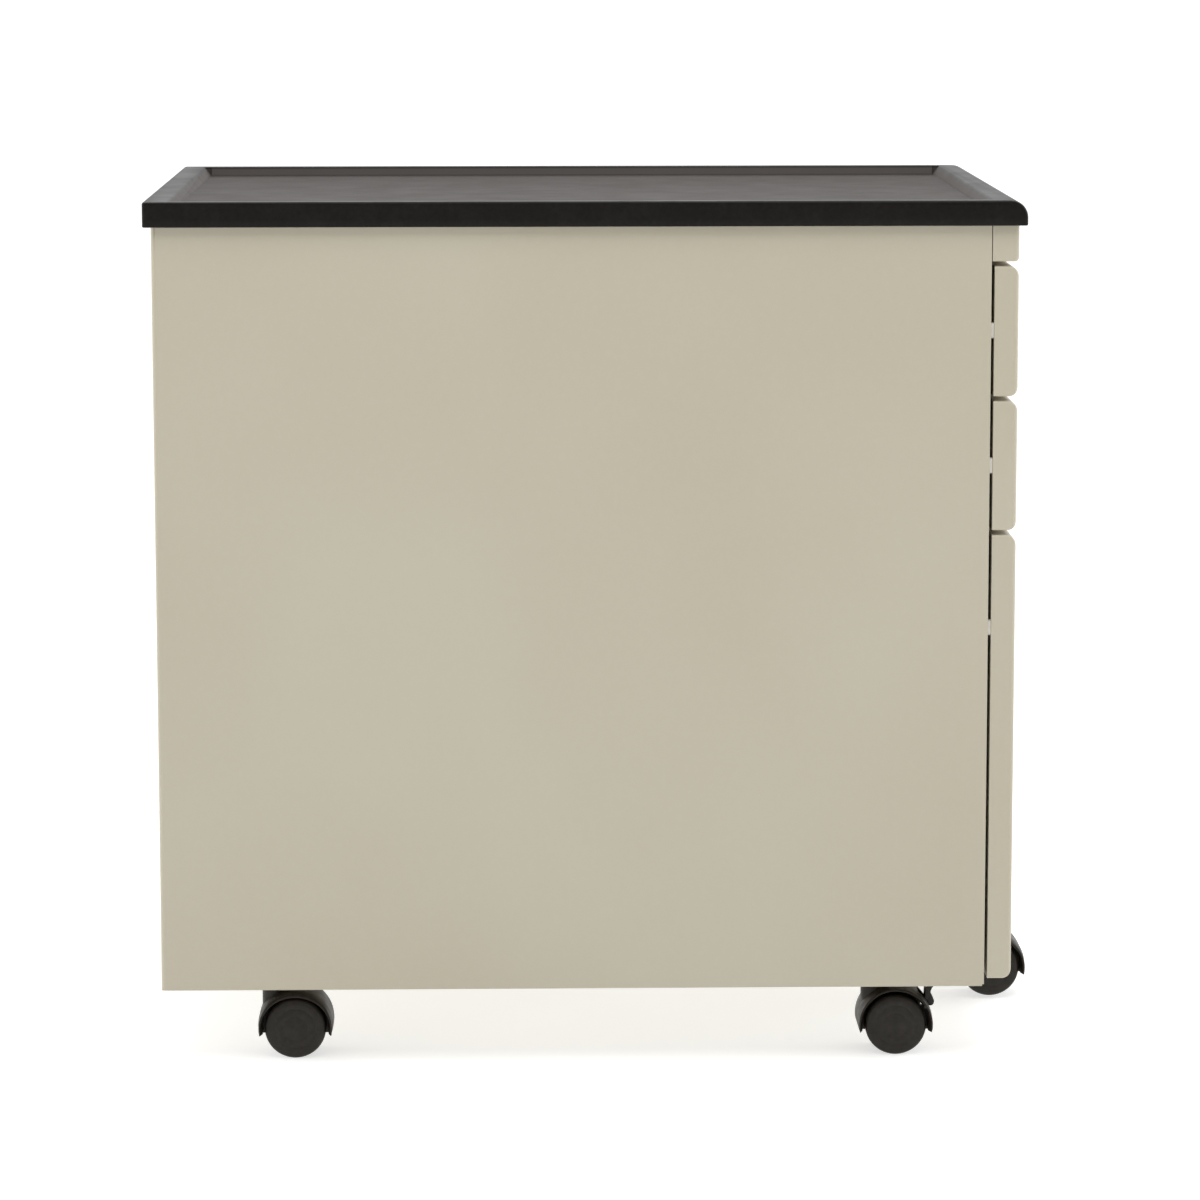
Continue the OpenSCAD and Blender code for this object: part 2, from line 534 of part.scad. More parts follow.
color(zinc) at_fl() axle();  // caster_front_left_axle
color(charcoal) at_fl() wheel(-1);  // caster_front_left_wheel_a
color(charcoal) at_fl() wheel(1);  // caster_front_left_wheel_b
color(black) at_fl() brake();  // caster_front_left_brake
color(black) at_fr() hood_shape(true);  // caster_front_right_hood
color(zinc) at_fr() axle();  // caster_front_right_axle
color(charcoal) at_fr() wheel(-1);  // caster_front_right_wheel_a
color(charcoal) at_fr() wheel(1);  // caster_front_right_wheel_b
color(black) at_fr() brake();  // caster_front_right_brake
color(black) at_tip() hood_shape(false, 27.3);  // caster_tip_hood
color(zinc) at_tip() axle();  // caster_tip_axle
color(charcoal) at_tip() wheel(-1);  // caster_tip_wheel_a
color(charcoal) at_tip() wheel(1);  // caster_tip_wheel_b
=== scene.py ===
import bpy, bmesh, math, json
from mathutils import Vector, Matrix


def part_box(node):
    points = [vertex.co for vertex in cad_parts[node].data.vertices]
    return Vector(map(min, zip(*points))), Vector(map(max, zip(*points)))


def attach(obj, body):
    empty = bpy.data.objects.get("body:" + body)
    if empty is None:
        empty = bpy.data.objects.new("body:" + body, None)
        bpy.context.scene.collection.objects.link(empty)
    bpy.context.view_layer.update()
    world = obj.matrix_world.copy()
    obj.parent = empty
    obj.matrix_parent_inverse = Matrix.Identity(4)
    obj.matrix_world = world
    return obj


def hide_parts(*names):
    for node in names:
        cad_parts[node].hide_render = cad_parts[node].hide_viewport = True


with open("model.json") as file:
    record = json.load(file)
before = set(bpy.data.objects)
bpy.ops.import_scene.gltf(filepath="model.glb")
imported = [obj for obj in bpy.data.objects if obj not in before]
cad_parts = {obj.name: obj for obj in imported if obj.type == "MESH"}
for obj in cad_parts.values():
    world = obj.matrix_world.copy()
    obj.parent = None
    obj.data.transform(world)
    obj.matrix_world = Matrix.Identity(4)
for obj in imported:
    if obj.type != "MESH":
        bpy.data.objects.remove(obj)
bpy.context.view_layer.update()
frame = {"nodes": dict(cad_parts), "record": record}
N = frame["nodes"]
scene = bpy.context.scene
FLOOR_GLOW, ROOM, KEY, OVERHEAD, SIDE = 0.64, (0.18, 1.20), 44, 14, 20


# ---------------------------------------------------------------- node materials
class Mat:
    """A small helper that builds a node material."""

    def __init__(self, name):
        self.m = bpy.data.materials.new(name)
        self.m.use_nodes = True
        self.t = self.m.node_tree
        self.p = self.t.nodes["Principled BSDF"]
        self.co = self.t.nodes.new("ShaderNodeTexCoord").outputs["Object"]

    def node(self, kind, **kw):
        n = self.t.nodes.new(kind)
        for k, v in kw.items():
            if hasattr(n, k):
                setattr(n, k, v)
            else:
                n.inputs[k.replace("_", " ")].default_value = v
        return n

    def link(self, a, b):
        self.t.links.new(a, b)

    def noise(self, size_mm, detail=3.0, rough=0.5, stretch=None):
        """Noise whose features are about size_mm across."""
        n = self.node("ShaderNodeTexNoise")
        n.inputs["Scale"].default_value = 1000.0 / size_mm
        n.inputs["Detail"].default_value = detail
        n.inputs["Roughness"].default_value = rough
        src = self.co
        if stretch:
            mp = self.node("ShaderNodeMapping")
            mp.inputs["Scale"].default_value = stretch
            self.link(src, mp.inputs["Vector"])
            src = mp.outputs["Vector"]
        self.link(src, n.inputs["Vector"])
        return n.outputs["Fac"]

    def remap(self, v, a, b, lo=0.0, hi=1.0):
        r = self.node("ShaderNodeMapRange")
        r.inputs["From Min"].default_value = lo
        r.inputs["From Max"].default_value = hi
        r.inputs["To Min"].default_value = a
        r.inputs["To Max"].default_value = b
        self.link(v, r.inputs["Value"])
        return r.outputs["Result"]

    def mix(self, fac, a, b):
        m = self.node("ShaderNodeMix", data_type="RGBA")
        self.link(fac, m.inputs["Factor"])
        ia = [i for i in m.inputs if i.name == "A" and i.type == "RGBA"][0]
        ib = [i for i in m.inputs if i.name == "B" and i.type == "RGBA"][0]
        for s, v in ((ia, a), (ib, b)):
            if isinstance(v, (tuple, list)):
                s.default_value = (*v[:3], 1)
            else:
                self.link(v, s)
        return [o for o in m.outputs if o.type == "RGBA"][0]

    def math(self, op, a, b=None):
        m = self.node("ShaderNodeMath", operation=op)
        for i, v in enumerate((a, b)):
            if v is None:
                continue
            if isinstance(v, (int, float)):
                m.inputs[i].default_value = v
            else:
                self.link(v, m.inputs[i])
        return m.outputs[0]

    def edges(self, radius_mm, lo=0.02, hi=0.25):
        """1 on worn outside edges, 0 on flats: how far a rounded normal leans from the real one."""
        bv = self.node("ShaderNodeBevel")
        bv.samples = 4
        bv.inputs["Radius"].default_value = radius_mm * 0.001
        g = self.node("ShaderNodeNewGeometry")
        d = self.node("ShaderNodeVectorMath", operation="DOT_PRODUCT")
        self.link(bv.outputs["Normal"], d.inputs[0])
        self.link(g.outputs["Normal"], d.inputs[1])
        inv = self.math("SUBTRACT", 1.0, d.outputs["Value"])
        return self.remap(inv, 0.0, 1.0, lo, hi)

    def bump(self, height, dist_mm, strength=1.0, chain=None):
        b = self.node("ShaderNodeBump")
        b.inputs["Strength"].default_value = strength
        b.inputs["Distance"].default_value = dist_mm * 0.001
        self.link(height, b.inputs["Height"])
        if chain is not None:
            self.link(chain, b.inputs["Normal"])
        self.link(b.outputs["Normal"], self.p.inputs["Normal"])
        return b.outputs["Normal"]


def enamel():
    m = Mat("putty_enamel")
    base, warm, pale = (0.500, 0.463, 0.365), (0.480, 0.438, 0.338), (0.565, 0.532, 0.440)
    broad = m.remap(m.noise(260, 2), 0, 1, 0.35, 0.65)
    col = m.mix(broad, base, warm)
    col = m.mix(m.remap(m.noise(5, 4, 0.6), 0.0, 0.10, 0.45, 0.75), col, pale)
    worn = m.math("MULTIPLY", m.edges(0.7), m.remap(m.noise(9, 4, 0.65), 0.0, 0.45, 0.42, 0.7))
    col = m.mix(worn, col, pale)
    m.link(col, m.p.inputs["Base Color"])
    m.link(m.remap(m.noise(28, 4, 0.6), 0.40, 0.52, 0.3, 0.7), m.p.inputs["Roughness"])
    m.p.inputs["Specular IOR Level"].default_value = 0.45
    m.p.inputs["Coat Weight"].default_value = 0.10
    m.p.inputs["Coat Roughness"].default_value = 0.28
    n = m.bump(m.noise(1.6, 2, 0.5), 0.035, 0.6)       # orange peel
    m.bump(m.noise(70, 1), 0.25, 0.30, n)               # slight waviness of thin sheet
    return m.m


def black_abs():
    m = Mat("black_abs")
    # 1 inside the recess of the top, where the moulding has a coarser grain (rougher, bumpier); the same mask also
    # lifts the colour there as painted sheen
    sep = m.node("ShaderNodeSeparateXYZ")
    m.link(m.co, sep.inputs[0])
    inside = m.math("MULTIPLY", m.remap(sep.outputs["Z"], 1, 0, 0.5582, 0.5596), m.remap(m.math("ABSOLUTE", sep.outputs["X"]), 1, 0, 0.1841, 0.1846))
    inside = m.math("MULTIPLY", inside, m.remap(sep.outputs["Y"], 0, 1, -0.2472, -0.2466))
    inside = m.math("MULTIPLY", inside, m.remap(sep.outputs["Y"], 1, 0, 0.2772, 0.2778))
    col = m.mix(m.remap(m.noise(3.2, 5, 0.65), 0, 1, 0.35, 0.7), (0.0052, 0.0044, 0.0036), (0.0088, 0.0076, 0.0064))
    # painted sheen: the recess gets a far lighter, warm colour than the black rim, lighter still up its walls than on
    # its floor, standing in for the reflection it shows
    col = m.mix(inside, col, m.mix(m.remap(sep.outputs["Z"], 0, 1, 0.5542, 0.5550), (0.034, 0.0275, 0.0240), (0.060, 0.052, 0.048)))
    faint = m.remap(m.noise(16, 5, 0.7, (0.25, 1.0, 1.0)), 0.0, 0.16, 0.5, 0.8)      # faint rub marks
    col = m.mix(faint, col, (0.040, 0.038, 0.035))
    worn = m.math("MULTIPLY", m.edges(0.6), m.remap(m.noise(7, 4, 0.6), 0.15, 0.8, 0.4, 0.7))
    col = m.mix(worn, col, (0.055, 0.056, 0.054))
    m.link(col, m.p.inputs["Base Color"])
    ra = m.remap(m.noise(38, 5, 0.62), 0.38, 0.46, 0.3, 0.7)
    rb = m.remap(m.noise(30, 5, 0.62), 0.53, 0.60, 0.3, 0.7)
    m.link(m.math("ADD", m.math("MULTIPLY", ra, m.math("SUBTRACT", 1.0, inside)), m.math("MULTIPLY", rb, inside)), m.p.inputs["Roughness"])
    m.p.inputs["Specular IOR Level"].default_value = 0.13
    n = m.bump(m.noise(0.9, 3, 0.55), 0.03, 0.45)       # fine moulded grain
    g = m.math("MULTIPLY", m.noise(1.7, 2, 0.5), inside)
    m.bump(g, 0.05, 0.35, n)
    return m.m


def nylon(name, dark=True):
    m = Mat(name)
    a, b, c = ((0.0115, 0.0086, 0.0056), (0.0190, 0.0148, 0.0098), (0.078, 0.067, 0.049)) if dark else ((0.58, 0.56, 0.50), (0.66, 0.64, 0.58), (0.52, 0.49, 0.42))
    col = m.mix(m.remap(m.noise(4, 5, 0.65), 0, 1, 0.35, 0.7), a, b)
    scuff = m.remap(m.noise(2.2, 6, 0.7, (1.0, 0.25, 1.0)), 0.0, 0.35, 0.66, 0.80)
    col = m.mix(scuff, col, c)
    col = m.mix(m.math("MULTIPLY", m.edges(0.5), 0.45), col, c)
    m.link(col, m.p.inputs["Base Color"])
    m.link(m.remap(m.noise(9, 4, 0.6), 0.36, 0.54, 0.3, 0.7), m.p.inputs["Roughness"])
    m.p.inputs["Specular IOR Level"].default_value = 0.30
    m.bump(m.noise(0.7, 3, 0.6), 0.03, 0.5)
    return m.m


def steel(name, bright=False):
    m = Mat(name)
    m.p.inputs["Metallic"].default_value = 1.0
    vor = m.node("ShaderNodeTexVoronoi")
    vor.inputs["Scale"].default_value = 160.0
    m.link(m.co, vor.inputs["Vector"])
    a, b = ((0.66, 0.66, 0.67), (0.78, 0.78, 0.79)) if bright else ((0.43, 0.44, 0.45), (0.60, 0.61, 0.62))
    col = m.mix(m.remap(vor.outputs["Distance"], 0, 1, 0.0, 0.9), a, b)
    col = m.mix(m.remap(m.noise(14, 4, 0.6), 0.0, 0.35, 0.55, 0.8), col, (0.33, 0.33, 0.32))
    m.link(col, m.p.inputs["Base Color"])
    r = m.remap(m.noise(3, 4, 0.6, (1.0, 0.06, 1.0)), 0.10 if bright else 0.28, 0.20 if bright else 0.46, 0.3, 0.7)
    m.link(r, m.p.inputs["Roughness"])
    m.bump(m.noise(0.8, 3, 0.6, (1.0, 0.05, 1.0)), 0.01 if bright else 0.02, 0.4)
    return m.m


MATS = {
    "putty_enamel": enamel(),
    "black_abs": black_abs(),
    "black_nylon": nylon("black_nylon"),
    "white_nylon": nylon("white_nylon", dark=False),
    "zinc_steel": steel("zinc_steel"),
    "lock_chrome": steel("lock_chrome", bright=True),
}
SLOT = {s["node"]: s["material_slot"] for s in frame["record"]["subparts"]}
for name, o in N.items():
    o.data.materials.clear()
    o.data.materials.append(MATS[SLOT[name]])


# ---------------------------------------------------------------- mesh helpers (millimetres)
def to_object(name, verts, faces, sharp=32):
    me = bpy.data.meshes.new(name)
    me.from_pydata([tuple(c * 0.001 for c in v) for v in verts], [], faces)
    bm = bmesh.new()
    bm.from_mesh(me)
    bmesh.ops.remove_doubles(bm, verts=bm.verts, dist=1e-7)
    bmesh.ops.recalc_face_normals(bm, faces=bm.faces)
    bm.to_mesh(me)
    bm.free()
    me.polygons.foreach_set("use_smooth", [True] * len(me.polygons))
    me.set_sharp_from_angle(angle=math.radians(sharp))
    o = bpy.data.objects.new(name, me)
    scene.collection.objects.link(o)
    return o


def loft_data(loops, ring=False):
    n, m = len(loops[0]), len(loops)
    verts = [p for L in loops for p in L]
    faces = []
    for i in range(m if ring else m - 1):
        a, b = i * n, ((i + 1) % m) * n
        for j in range(n):
            k = (j + 1) % n
            faces.append((a + j, a + k, b + k, b + j))
    if not ring:
        faces.append(tuple(range(n)))
        faces.append(tuple(range((m - 1) * n, m * n)))
    return verts, faces


def loft(name, loops, ring=False, sharp=32):
    return to_object(name, *loft_data(loops, ring), sharp)


def join_data(*parts):
    V, F = [], []
    for v, f in parts:
        k = len(V)
        V += list(v)
        F += [tuple(i + k for i in q) for q in f]
    return V, F


def rr(a0, a1, b0, b1, r, n=7):
    """Rounded rectangle, anticlockwise, n+1 points on each corner."""
    r = max(min(r, (a1 - a0) / 2 - 0.01, (b1 - b0) / 2 - 0.01), 0.01)
    out = []
    for cx, cy, s in ((a1 - r, b0 + r, -90), (a1 - r, b1 - r, 0), (a0 + r, b1 - r, 90), (a0 + r, b0 + r, 180)):
        for i in range(n + 1):
            t = math.radians(s + 90 * i / n)
            out.append((cx + r * math.cos(t), cy + r * math.sin(t)))
    return out


def arc_inset(r, d):
    """How far a quarter round of radius r is set in at depth d under its top."""
    return 0.0 if d >= r else r - math.sqrt(max(r * r - (r - d) ** 2, 0.0))


def apply_modifiers(o):
    dg = bpy.context.evaluated_depsgraph_get()
    me = bpy.data.meshes.new_from_object(o.evaluated_get(dg))
    o.modifiers.clear()
    o.data = me


def subtract(o, cutter):
    b = o.modifiers.new("cut", "BOOLEAN")
    b.operation, b.object, b.solver = "DIFFERENCE", cutter, "EXACT"
    b.use_self = True
    apply_modifiers(o)
    bpy.data.objects.remove(cutter)


def piece(o, body, slot_name, *nodes):
    o.data.materials.clear()
    o.data.materials.append(MATS[slot_name])
    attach(o, body)
    if nodes:
        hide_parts(*nodes)
    return o


def boxmm(node):
    lo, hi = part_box(node)
    return [c * 1000 for c in lo], [c * 1000 for c in hi]


# ---------------------------------------------------------------- moulded top
def top():
    lo, hi = boxmm("top_tray")
    X, Y0, Y1, Z0, Z1 = hi[0], lo[1], hi[1], lo[2], hi[2] if hi[2] < 560.05 else 560.0
    Z1 = min(Z1, 560.0)
    R, e = 11.0, 1.4
    xi, yf, yr = X - 11, Y0 + 21, Y1 - 15
    def lv(xa, ya, yb, r, z):
        return [(a, b, z) for a, b in rr(-xa, xa, ya, yb, r)]
    L = [
        lv(xi + 2, yf - 2, yr + 2, 4, Z0 + 7),
        lv(xi + 2, yf - 2, yr + 2, 4, Z1 - 3),
        lv(X - 2.5, Y0 + 13, Y1 - 2.5, 1, Z1 - 3),
        lv(X - 2.5, Y0 + 13, Y1 - 2.5, 1, Z1 - 7.5),
        lv(X - 2.5, Y0 + 2.5, Y1 - 2.5, 1, Z1 - 7.5),
        lv(X - 2.5, Y0 + 2.5, Y1 - 2.5, 1, Z0 + 0.5),
        lv(X - 2.2, Y0 + 2.2, Y1 - 2.2, 1.2, Z0),
        lv(X - 0.7, Y0 + 0.7, Y1 - 0.7, 2.0, Z0),
        lv(X - 0.2, Y0 + 0.2, Y1 - 0.2, 2.4, Z0 + 0.2),
        lv(X, Y0, Y1, 2.5, Z0 + 0.7),
    ]
    zs = [Z1 - R + R * math.sin(math.radians(a)) for a in range(0, 60, 6)]
    zs = [z for z in zs if z < Z1 - e] + [Z1 - e + e * math.sin(math.radians(b)) for b in range(0, 91, 15)]
    for z in zs:
        d = Z1 - z
        s, f = arc_inset(e, d), arc_inset(R, d)
        L.append(lv(X - s, Y0 + f, Y1 - s, 2.5, z))
    o = loft("tray_top", L, sharp=40)
    # recess: side walls sloping between the end ramps, upright beside the ramps
    zf, run, ramp = Z1 - 6.0, 4.0, 5.0
    prism = [(-xi + run, zf), (xi - run, zf), (xi, Z1), (xi, Z1 + 3), (-xi, Z1 + 3), (-xi, Z1)]
    cutters = [loft_data([[(x, y, z) for x, z in prism] for y in (yf + ramp, yr - ramp)])]
    for y, d in ((yr, 1), (yf, -1)):
        tri = [(y - d * (ramp + 0.02), zf), (y + d * ramp / 2, Z1 + 3), (y - d * (ramp + 0.02), Z1 + 3)]
        cutters.append(loft_data([[(x, a, z) for a, z in tri] for x in (-xi, xi)]))
    for c in cutters:
        subtract(o, to_object("recess_cutter", *c))
    me = o.data
    bm = bmesh.new()
    bm.from_mesh(me)
    bmesh.ops.remove_doubles(bm, verts=bm.verts, dist=3e-5)
    bmesh.ops.dissolve_limit(bm, angle_limit=math.radians(0.5), verts=[v for v in bm.verts if v.co.z > (zf - 0.5) / 1000 and abs(v.co.x) < (xi + 0.2) / 1000 and (yf - 0.2) / 1000 < v.co.y < (yr + 0.2) / 1000],
        edges=[e for e in bm.edges if all(v.co.z > (zf - 0.5) / 1000 and abs(v.co.x) < (xi + 0.2) / 1000 for v in e.verts)])
    weight = bm.edges.layers.float.new("bevel_weight_edge")
    for e in bm.edges:
        near = all(abs(v.co.x) < (xi + 0.1) / 1000 and (yf - 0.1) / 1000 < v.co.y < (yr + 0.1) / 1000 and v.co.z > (zf - 0.1) / 1000 for v in e.verts)
        if near and len(e.link_faces) == 2 and e.calc_face_angle(0) > math.radians(15):
            e[weight] = 1.0
    bm.to_mesh(me)
    bm.free()
    b = o.modifiers.new("edge", "BEVEL")
    b.width, b.segments, b.limit_method = 0.00055, 3, "WEIGHT"
    apply_modifiers(o)
    o.data.polygons.foreach_set("use_smooth", [True] * len(o.data.polygons))
    o.data.set_sharp_from_angle(angle=math.radians(38))
    return piece(o, "cabinet", "black_abs", "top_tray")


# ---------------------------------------------------------------- folded fronts
def circle_loop(cx, cz, r, total):
    return [(cx + r * math.cos(math.radians(-90 + 360 * (i + 0.5) / total)), cz + r * math.sin(math.radians(-90 + 360 * (i + 0.5) / total))) for i in range(total)]


def front(name, node, r_top, r_low, hole, body, y_back=None):
    lo, hi = boxmm(node)
    X, yf, yb, z0, z1 = hi[0], lo[1], hi[1] if y_back is None else y_back, lo[2], hi[2]
    rs, t = 2.4, 1.2
    def lv(d, k=0.0, back=False):
        return [(a, yf + d, b) for a, b in rr(-X + arc_inset(rs, max(d - k, 0)) + k, X - arc_inset(rs, max(d - k, 0)) - k,
                z0 + arc_inset(r_low, max(d - k, 0)) + k, z1 - arc_inset(r_top, max(d - k, 0)) - k, 1.6 if k == 0 else 0.8)]
    depth = yb - yf
    ds = [6.5, 5.2, 4.1, 3.5, 3.0, 2.4, 1.9, 1.45, 1.05, 0.7, 0.42, 0.2, 0.06, 0.0]
    L = [lv(depth, 0.25), lv(depth - 0.25)] + [lv(d) for d in ds if d < depth - 0.5]
    total = len(L[0])
    if hole[0] == "slot":
        _, w, h, zc = hole
        hl = lambda g, d: [(a, yf + d, b) for a, b in rr(-w / 2 - g, w / 2 + g, zc - h / 2 - g, zc + h / 2 + g, 4 + g)]
    else:
        _, r, xc, zc = hole
        hl = lambda g, d: [(a, yf + d, b) for a, b in circle_loop(xc, zc, r + g, total)]
    L += [hl(0.35, 0.0), hl(0.08, 0.12), hl(0, 0.4), hl(0, t)]
    L += [lv(d, t) for d in [t, 1.35, 1.7, 2.3, 3.1, 4.4, 6.5] if d < depth - 1] + [lv(depth, t)]
    o = loft(name, L, ring=True, sharp=30)
    # the flat faces keep their own normal, so the rim's rounding doesn't shade across them
    o.data.polygons.foreach_set("use_smooth", [abs(q.normal.y) < 0.9999 for q in o.data.polygons])
    return piece(o, body, "putty_enamel", node)


def pull(name, node, body, face_y):
    lo, hi = boxmm(node)
    zc, W, H = (lo[2] + hi[2]) / 2, (hi[0] - lo[0]) / 2, (hi[2] - lo[2]) / 2
    def lv(w, h, r, d):
        return [(a, face_y + d, b) for a, b in rr(-w, w, zc - h, zc + h, r)]
    L = [lv(W - 4.6, H - 4.6, 3, 13), lv(W - 3.2, H - 3.2, 3.8, 12), lv(W - 3.2, H - 3.2, 3.8, 0), lv(W, H, 6, 0),
         lv(W, H, 6, -0.12), lv(W - 0.12, H - 0.12, 5.9, -0.4), lv(W - 0.5, H - 0.5, 5.5, -0.6),
         lv(W - 4.2, H - 4.2, 3.2, -0.6), lv(W - 4.7, H - 4.7, 2.8, -0.45), lv(W - 5.0, H - 5.0, 2.6, 0.1),
         lv(W - 5.6, H - 5.6, 2.4, 8.6), lv(W - 6.2, H - 6.2, 2.2, 10.4), lv(W - 7.6, H - 7.6, 1.8, 11.3), lv(W - 9, H - 9, 1.2, 11.4)]
    o = loft(name, L, sharp=42)
    return piece(o, body, "black_abs", node)


# ---------------------------------------------------------------- casters
def caster_hood(name, cx, cy, up, ztop, brake):
    """Canopy with rounded shoulders, centre web and stem socket. cy is the swivel axis; the wheel trails towards -Y. up lifts it all."""
    wy, wz = cy - 13.0, 20.0
    M = 44
    a_lip, b_lip = (23.2, 22.9) if brake else (22.9, 20.9)      # opening at the lip, half width and height
    outer = [(wy - 23.5, 15.35), (wy - 24.3, 18.0)]
    for i in range(M + 1):
        t = math.pi * i / M
        outer.append((wy - 24.55 * math.cos(t), 20.7 + 24.55 * math.sin(t)))
    outer += [(wy + 24.3, 18.0), (wy + 23.5, 15.35)]

    def inner_at(x):
        f = min(max((abs(x) - 13.5) / 5.0, 0.0), 1.0)
        a, b = 21.4 + (a_lip - 21.4) * f, 21.3 + (b_lip - 21.3) * f
        arc = [(wy - a * math.cos(math.pi * i / M), wz + b * math.sin(math.pi * i / M)) for i in range(M + 1)]
        return [(wy - a - 0.05, 15.3), (wy - a, 17.5)] + arc + [(wy + a, 17.5), (wy + a + 0.05, 15.3)]

    def section(x):
        u = min(max((abs(x) - 8.0) / 11.0, 0.0), 1.0)
        k = math.sqrt(max(1 - u ** 2.2, 0.0))
        inner, pts = inner_at(x), []
        for (iy, iz), (oy, oz) in zip(inner, outer):
            dy, dz = oy - iy, oz - iz
            ln = math.hypot(dy, dz)
            tk = min(0.9, ln)
            f = (tk + (ln - tk) * k) / ln
            pts.append((x, iy + dy * f, iz + dz * f))
        return pts + [(x, y, z) for y, z in reversed(inner)]
    xs = [-19, -18.85, -18.5, -17.9, -17, -15.8, -14.2, -12.4, -10.6, -9, -5, 0, 5, 9, 10.6, 12.4, 14.2, 15.8, 17, 17.9, 18.5, 18.85, 19]
    canopy = loft_data([section(cx_) for cx_ in xs])
    # centre web between the wheels
    web2 = [(wy - 22.6 * math.cos(math.pi * i / 28), wz + 21.4 * math.sin(math.pi * i / 28)) for i in range(29)]
    web2 = [(wy - 19.0, 13.65), (wy - 23.0, 13.65)] + web2 + [(wy + 23.0, 13.65), (wy + 19.0, 13.65)]
    web = loft_data([[(x, y, z) for y, z in web2] for x in (-2.5, 2.5)])
    # stem socket with a small step under its rim
    zt = ztop - up
    prof = [(8.3, zt), (8.75, zt - 0.12), (9.0, zt - 0.5), (9.0, zt - 2.2), (8.8, zt - 2.5), (8.8, zt - 3.0), (9.0, zt - 3.3), (9.0, 41.5), (9.0, 30.0)]
    neck = loft_data([[(r * math.cos(2 * math.pi * j / 56), cy + r * math.sin(2 * math.pi * j / 56), z) for j in range(56)] for r, z in prof])
    V, F = join_data(canopy, web, neck)
    o = to_object(name, [(x + cx, y, z + up) for x, y, z in V], F, sharp=38)
    if brake:
        subtract(o, to_object("slot_cutter", *loft_data([[(x + cx, y, z + up) for y, z in
              ((wy - 31, 24.0), (wy - 22.6, 26.4), (wy - 20.4, 29.0), (wy - 15.5, 29.0), (wy - 15.5, 60), (wy - 31, 60))] for x in (-6.5, 6.5)])))
        py, pz = cy - 32.5, 32.5 + up
        pin = to_object("pin", *loft_data([[(x + cx, py + 1.5 * math.cos(2 * math.pi * j / 24), pz + 1.5 * math.sin(2 * math.pi * j / 24)) for j in range(24)] for x in (-7, 7)]))
        heads = []
        for sx in (-1, 1):
            heads.append(loft_data([[(sx * x + cx, py + q * math.cos(2 * math.pi * j / 24), pz + q * math.sin(2 * math.pi * j / 24)) for j in range(24)] for x, q in ((15.5, 1.25), (18.55, 1.25), (18.8, 1.0))]))
        tip = to_object("pin_heads", *join_data(*heads))
        bm = bmesh.new()
        bm.from_mesh(o.data)
        bm.from_mesh(pin.data)
        bm.from_mesh(tip.data)
        bm.to_mesh(o.data)
        bm.free()
        bpy.data.objects.remove(pin)
        bpy.data.objects.remove(tip)
        o.data.polygons.foreach_set("use_smooth", [True] * len(o.data.polygons))
        o.data.set_sharp_from_angle(angle=math.radians(38))
    return o


def caster_wheel(name, cx, cy, up, s):
    """Hollow wheel: tread, rounded shoulder, slightly dished face with a moulded ring and a hub mark."""
    P = [(3.06, 14.6), (3.06, 3.8), (3.3, 3.5), (5.7, 3.5), (6.0, 3.8), (6.0, 14.6), (17.4, 14.6), (17.4, 3.9), (17.7, 3.5), (19.5, 3.5), (19.85, 3.65), (20.0, 4.1), (20.0, 14.7)]
    for i in range(1, 9):
        t = math.radians(90 * i / 8)
        P.append((17.2 + 2.8 * math.cos(t), 14.7 + 2.6 * math.sin(t)))
    P += [(16.6, 17.42), (16.2, 17.5), (13.3, 17.5), (13.15, 17.47), (12.95, 17.47), (12.8, 17.5), (8.2, 17.5), (8.05, 17.48), (7.85, 17.48), (7.7, 17.5), (0.6, 17.5)]
    n = 96
    loops = [[(s * x, r * math.cos(2 * math.pi * j / n), r * math.sin(2 * math.pi * j / n)) for j in range(n)] for r, x in P]
    V, F = loft_data(loops)
    return to_object(name, [(x + cx, y + cy - 13.0, z + 20.0 + up) for x, y, z in V], F, sharp=34)


def brake_lever(name, cx, cy):
    """Toggle lever: foot with a boss, waist and a finger tab that flares forward."""
    wy, wz = cy - 13.0, 20.0
    line = [(22.0, 10.9, 2.6), (22.9, 12.1, 5.6), (22.8, 13.5, 6.0), (22.3, 15.6, 4.8), (21.95, 17.9, 3.8), (22.0, 20.2, 3.6), (23.0, 23.0, 4.0), (25.0, 25.4, 4.2), (27.5, 27.1, 3.6), (29.9, 28.0, 2.2)]
    pts = []
    for i in range(len(line) - 1):
        for k in range(5):
            t = k / 5
            g = lambda c: 0.5 * ((2 * line[i][c]) + (line[i + 1][c] - line[max(i - 1, 0)][c]) * t
                + (2 * line[max(i - 1, 0)][c] - 5 * line[i][c] + 4 * line[i + 1][c] - line[min(i + 2, len(line) - 1)][c]) * t * t
                + (3 * line[i][c] - line[max(i - 1, 0)][c] - 3 * line[i + 1][c] + line[min(i + 2, len(line) - 1)][c]) * t ** 3)
            pts.append((g(0), g(1), g(2)))
    pts.append(line[-1])
    left, right = [], []
    for i, (u, z, w) in enumerate(pts):
        a, b = pts[max(i - 1, 0)], pts[min(i + 1, len(pts) - 1)]
        du, dz = b[0] - a[0], b[1] - a[1]
        ln = math.hypot(du, dz)
        nu, nz = -dz / ln, du / ln
        left.append((u + nu * w / 2, z + nz * w / 2))
        right.append((u - nu * w / 2, z - nz * w / 2))
    ring = left + list(reversed(right))
    o = to_object(name, *loft_data([[(x + cx, wy - u, wz + z) for u, z in ring] for x in (-5.8, 5.8)]), sharp=40)
    b = o.modifiers.new("edge", "BEVEL")
    b.width, b.segments, b.limit_method, b.angle_limit = 0.0007, 3, "ANGLE", math.radians(50)
    apply_modifiers(o)
    o.data.polygons.foreach_set("use_smooth", [True] * len(o.data.polygons))
    o.data.set_sharp_from_angle(angle=math.radians(40))
    return o


